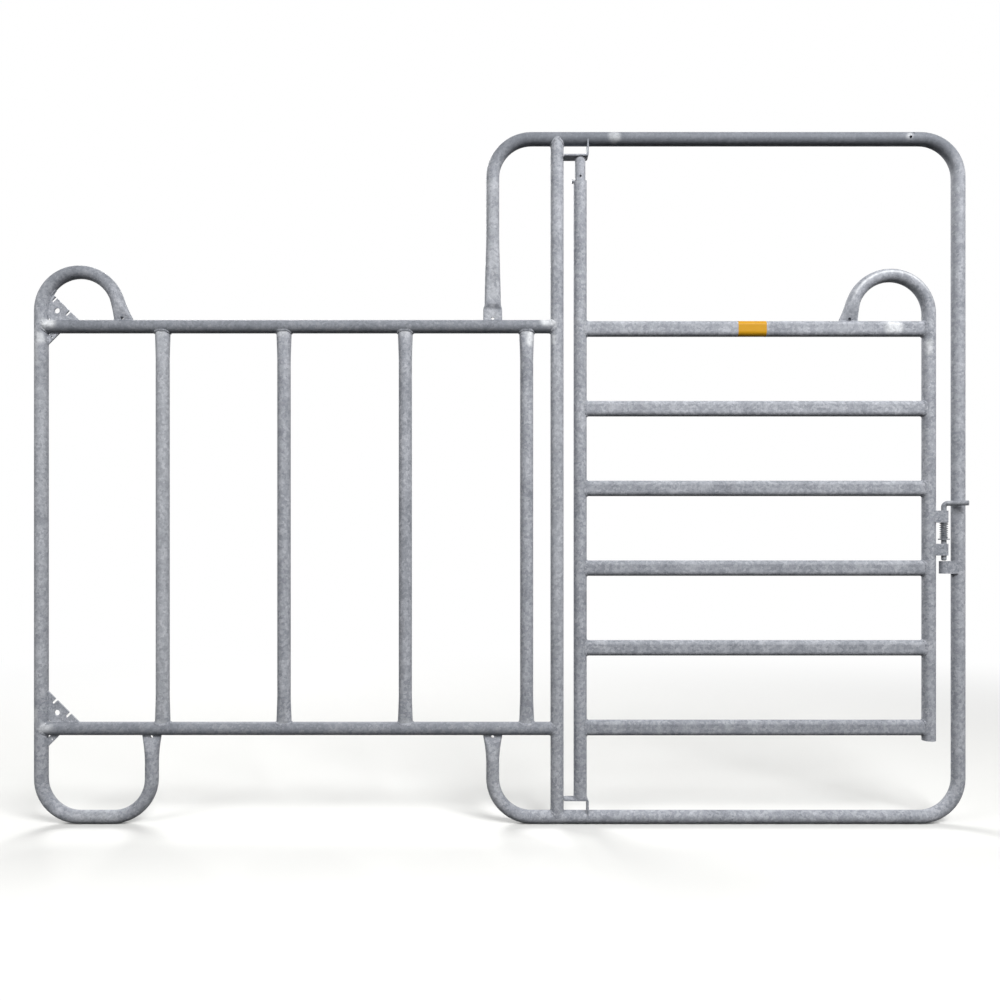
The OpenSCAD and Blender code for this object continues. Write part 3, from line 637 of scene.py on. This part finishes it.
def coilShell():
    # a wire circle carried round the rod while it rises; the rise eases off over the first and last turn
    # so that both ends lie flat
    turns = latch["springTurns"]
    share = np.linspace(0, 1, int(turns * latch["stepsPerTurn"]) + 1)
    speed = latch["endSpeed"] + (smoothStep(share * turns - latch["flatTurns"])
                                 * smoothStep((1 - share) * turns - latch["flatTurns"]))
    climb = np.concatenate([[0], np.cumsum((speed[1:] + speed[:-1]) / 2)])
    room = latch["springHigh"] - latch["springLow"] - 2 * wireR
    height = latch["springLow"] + wireR + room * climb / climb[-1]
    angle = 2 * np.pi * turns * share
    around = 2 * np.pi * np.arange(latch["wireSides"]) / latch["wireSides"]
    radius = latch["springDia"] / 2 - wireR + wireR * np.cos(around)[None, :]
    return closedShell(np.stack([
        latch["boltX"] + radius * np.cos(angle)[:, None],
        latch["boltY"] + radius * np.sin(angle)[:, None],
        height[:, None] + wireR * np.sin(around)[None, :]], -1), False)


springMaterial = galvanisedSteel("zincPlatedSpringWire", springWire)
spring = makePiece("boltSpring", [coilShell()], springMaterial, None)
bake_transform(spring)
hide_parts("latch_spring")
print("spring wound:", latch["springTurns"], "turns")

# a plain film on the highest gate rail, in mm; one corner has curled off a little
label = {
    "fromX": 2245.0, "toX": 2336.0, "film": 0.25, "gap": 0.08, "wrap": 0.98,
    "curl": 0.9, "cornerMm": 12, "cornerFrom": 24, "columns": 61, "rows": 81,
}


def labelShell():
    # a thin film round the front of the oval rail: the rail's outline from its top to its lower edge, set
    # off by the gap and by the film's thickness, carried along the rail, with one corner lifted by the curl
    r = gate["railThick"] / 2
    flank = gate["railHeight"] - gate["railThick"]
    s = np.linspace(-1, 1, label["rows"]) * (flank / 2 + np.pi / 2 * r * label["wrap"])
    beyond = np.sign(s) * np.maximum(np.abs(s) - flank / 2, 0) / r
    outY = -np.cos(beyond)[None, :]
    outZ = np.sin(beyond)[None, :]
    height = np.clip(s, -flank / 2, flank / 2)[None, :]
    x = np.linspace(label["fromX"], label["toX"], label["columns"])
    corner = (smoothStep((x - label["toX"] + label["cornerMm"]) / label["cornerMm"])[:, None]
              * smoothStep((-s - label["cornerFrom"]) / label["cornerMm"])[None, :])
    sides = []
    for offset in (label["gap"] + label["film"], label["gap"]):
        reach = r + offset + label["curl"] * corner
        sides.append(np.stack([
            np.repeat(x[:, None], len(s), 1), reach * outY, gate["topRailZ"] + height + reach * outZ], -1))
    return closedShell(np.concatenate([sides[0], sides[1][:, ::-1]], 1), False)


labelMaterial = vinylFilm("calenderedVinyl", vinyl)
makePiece("plainLabel", [labelShell()], labelMaterial, "gate")
print("label laid")

# a drilled vent in the frame's top tube in mm, with the zinc that ran together round its rim and a dark disc
# of painted shade for the hole
vent = {
    "x": 2795.0, "z": 2205.0, "holeR": 4.0, "rimR": 5.6, "rimRise": 0.4, "lipRise": 0.2, "sides": 40,
    "discRise": 0.05, "discShares": (0.02, 0.5, 0.99),
}
# painted shade of the bore: nearly black, with no sheen, so it reads as depth
bore = {"black": "#141416", "roughness": 0.95, "specular": 0.0}


def onTopTube(radius, rise):
    # a ring round the vent, laid on the tube: its height becomes an angle round the tube by dividing by
    # the tube's radius
    turn = 2 * np.pi * np.arange(vent["sides"]) / vent["sides"]
    angle = (vent["z"] - panel["topZ"] + radius * np.sin(turn)) / panel["tubeR"]
    reach = panel["tubeR"] + rise
    return np.stack([
        vent["x"] + radius * np.cos(turn), -reach * np.cos(angle), panel["topZ"] + reach * np.sin(angle)], -1)


boreMaterial, boreTree = emptyMaterial("shadedBore")
boreShader = addNode(boreTree, "ShaderNodeBsdfPrincipled", {
    "Base Color": linearColour(bore["black"]), "Roughness": bore["roughness"],
    "Specular IOR Level": bore["specular"]})
addNode(boreTree, "ShaderNodeOutputMaterial", {"Surface": boreShader.outputs["BSDF"]})
rim = np.stack([onTopTube(radius, rise) for radius, rise in (
    (vent["holeR"], -vent["rimRise"]), (vent["holeR"], vent["lipRise"]),
    ((vent["holeR"] + vent["rimR"]) / 2, vent["rimRise"]),
    (vent["rimR"], 0.0), (vent["rimR"], -vent["rimRise"]))])
# a thin disc just over the tube inside the rim, in the nearly black bore colour: painted shade for the hole
innermost, between, outermost = vent["discShares"]
disc = np.stack([onTopTube(share * vent["holeR"], rise) for share, rise in (
    (innermost, vent["discRise"]), (between, vent["discRise"]), (outermost, vent["discRise"]),
    (outermost, -vent["rimRise"]), (innermost, -vent["rimRise"]))])
makePiece("ventRim", [closedShell(rim, True)], weldMaterial, "frame")
makePiece("ventShadeDisc", [closedShell(disc, False)], boreMaterial, "frame")
print("vent set")


def lightPathSeen(tree):
    # 1 where a ray comes from the camera, a reflection or a see-through surface, else 0
    path = addNode(tree, "ShaderNodeLightPath")
    seen = addNode(tree, "ShaderNodeMath", {
        0: path.outputs["Is Camera Ray"], 1: path.outputs["Is Glossy Ray"]}, operation="MAXIMUM").outputs[0]
    return addNode(tree, "ShaderNodeMath", {
        0: seen, 1: path.outputs["Is Transmission Ray"]}, operation="MAXIMUM").outputs[0]


# floor and surround, in metres; skySide and skyTop are the light from the side and from above, skyBand the
# part of the upward direction between them, and horizon the part over which the light from below goes out
stageLook = {
    "floor": "#e2e2e0", "floorBounce": "#1c1c1c", "glow": 0.02, "halfSize": 16.0,
    "middle": (1.42, 0.0, -panel["origin"][2] / mmPerMetre),
    "sideShare": 0.55, "fadeFrom": 1.0, "fadeTo": 4.2,
    "skySide": 0.5, "skyTop": 0.16, "skyBand": (0.25, 0.85), "horizon": (-0.05, 0.12),
    "white": (1, 1, 1, 1), "whiteLevel": 1.0,
}

# matt painted floor: nearly white with the object's shadow close to it, plain white further off; the light
# that it throws back on the tubes is held low
floorMaterial, floorTree = emptyMaterial("mattePaintedFloor")
floorCoords = addNode(floorTree, "ShaderNodeTexCoord").outputs["Object"]
floorAway = addNode(floorTree, "ShaderNodeVectorMath", {
    0: floorCoords, 1: stageLook["middle"]}, operation="SUBTRACT").outputs[0]
floorAway = addNode(floorTree, "ShaderNodeVectorMath", {
    0: floorAway, 1: (stageLook["sideShare"], 1.0, 1.0)}, operation="MULTIPLY").outputs[0]
floorAway = addNode(floorTree, "ShaderNodeVectorMath", {0: floorAway}, operation="LENGTH").outputs["Value"]
floorFade = addNode(floorTree, "ShaderNodeMapRange", {
    "Value": floorAway, "From Min": stageLook["fadeFrom"], "From Max": stageLook["fadeTo"]},
    interpolation_type="SMOOTHSTEP").outputs["Result"]
floorPaint = addNode(floorTree, "ShaderNodeBsdfDiffuse", {
    "Color": linearColour(stageLook["floor"])}).outputs[0]
floorGlow = addNode(floorTree, "ShaderNodeEmission", {"Strength": stageLook["glow"]}).outputs[0]
floorNear = addNode(floorTree, "ShaderNodeAddShader", {0: floorPaint, 1: floorGlow}).outputs[0]
floorFar = addNode(floorTree, "ShaderNodeEmission", {"Strength": stageLook["whiteLevel"]}).outputs[0]
floorShown = addNode(floorTree, "ShaderNodeMixShader", {0: floorFade, 1: floorNear, 2: floorFar}).outputs[0]
floorHidden = addNode(floorTree, "ShaderNodeBsdfDiffuse", {
    "Color": linearColour(stageLook["floorBounce"])}).outputs[0]
floorMix = addNode(floorTree, "ShaderNodeMixShader", {
    0: lightPathSeen(floorTree), 1: floorHidden, 2: floorShown}).outputs[0]
addNode(floorTree, "ShaderNodeOutputMaterial", {"Surface": floorMix})
half = stageLook["halfSize"]
floorZ = stageLook["middle"][2]
floorMesh = bpy.data.meshes.new("floor")
floorMesh.from_pydata(
    [(-half, -half, floorZ), (half, -half, floorZ), (half, half, floorZ), (-half, half, floorZ)],
    [], [(0, 1, 2, 3)])
floorMesh.materials.append(floorMaterial)
floor = bpy.data.objects.new("floor", floorMesh)
bpy.context.scene.collection.objects.link(floor)

# an even white surround to the eye, whose light on the tubes comes from all sides but not from below
world = bpy.data.worlds.new("paleStudio")
world.use_nodes = True
worldTree = world.node_tree
worldTree.nodes.clear()
skyward = addNode(worldTree, "ShaderNodeTexCoord").outputs["Generated"]
skyward = addNode(worldTree, "ShaderNodeSeparateXYZ", {"Vector": skyward}).outputs["Z"]
bandLow, bandHigh = stageLook["skyBand"]
skyLight = addNode(worldTree, "ShaderNodeMapRange", {
    "Value": skyward, "From Min": bandLow, "From Max": bandHigh,
    "To Min": stageLook["skySide"], "To Max": stageLook["skyTop"]}).outputs["Result"]
horizonLow, horizonHigh = stageLook["horizon"]
overFloor = addNode(worldTree, "ShaderNodeMapRange", {
    "Value": skyward, "From Min": horizonLow, "From Max": horizonHigh}).outputs["Result"]
skyLight = addNode(worldTree, "ShaderNodeMath", {0: skyLight, 1: overFloor}, operation="MULTIPLY").outputs[0]
worldLevel = addNode(worldTree, "ShaderNodeMapRange", {
    "Value": lightPathSeen(worldTree), "To Min": skyLight,
    "To Max": stageLook["whiteLevel"]}).outputs["Result"]
worldLight = addNode(worldTree, "ShaderNodeBackground", {"Color": stageLook["white"], "Strength": worldLevel})
addNode(worldTree, "ShaderNodeOutputWorld", {"Surface": worldLight.outputs[0]})
bpy.context.scene.world = world

# soft boxes: place and target in metres, size in metres, power in watts
softBoxes = {
    "frontRightBox": {"at": (3.8, -3.9, 4.4), "to": (1.4, 0.0, 0.8), "size": (3.0, 2.4), "power": 380.0},
    "frontLeftBox": {"at": (-1.9, -3.4, 3.4), "to": (1.3, 0.0, 0.8), "size": (2.4, 2.0), "power": 75.0},
    "backBox": {"at": (-0.8, 4.2, 4.2), "to": (1.4, 0.0, 0.8), "size": (3.2, 2.6), "power": 260.0},
}
for name, box in softBoxes.items():
    lamp = bpy.data.lights.new(name, "AREA")
    lamp.shape = "RECTANGLE"
    lamp.size, lamp.size_y = box["size"]
    lamp.energy = box["power"]
    lampObject = bpy.data.objects.new(name, lamp)
    lampObject.location = box["at"]
    lampObject.rotation_mode = "QUATERNION"
    lampObject.rotation_quaternion = (Vector(box["to"]) - Vector(box["at"])).to_track_quat("-Z", "Y")
    bpy.context.scene.collection.objects.link(lampObject)

# level and looking straight along +Y, as in the photo: place in metres, lens and sensor in mm
photoCamera = {"at": (1.41515, -2.677, 0.5396), "lens": 29.9, "sensor": 36.0, "shiftUp": 0.0412}
cameraData = bpy.data.cameras.new("photoCamera")
cameraData.lens = photoCamera["lens"]
cameraData.sensor_width = photoCamera["sensor"]
cameraData.shift_y = photoCamera["shiftUp"]
camera = bpy.data.objects.new("photoCamera", cameraData)
camera.location = photoCamera["at"]
camera.rotation_euler = (np.pi / 2, 0, 0)
bpy.context.scene.collection.objects.link(camera)
bpy.context.scene.camera = camera
bpy.context.scene.view_settings.view_transform = "Standard"
print("stage, light and camera set")
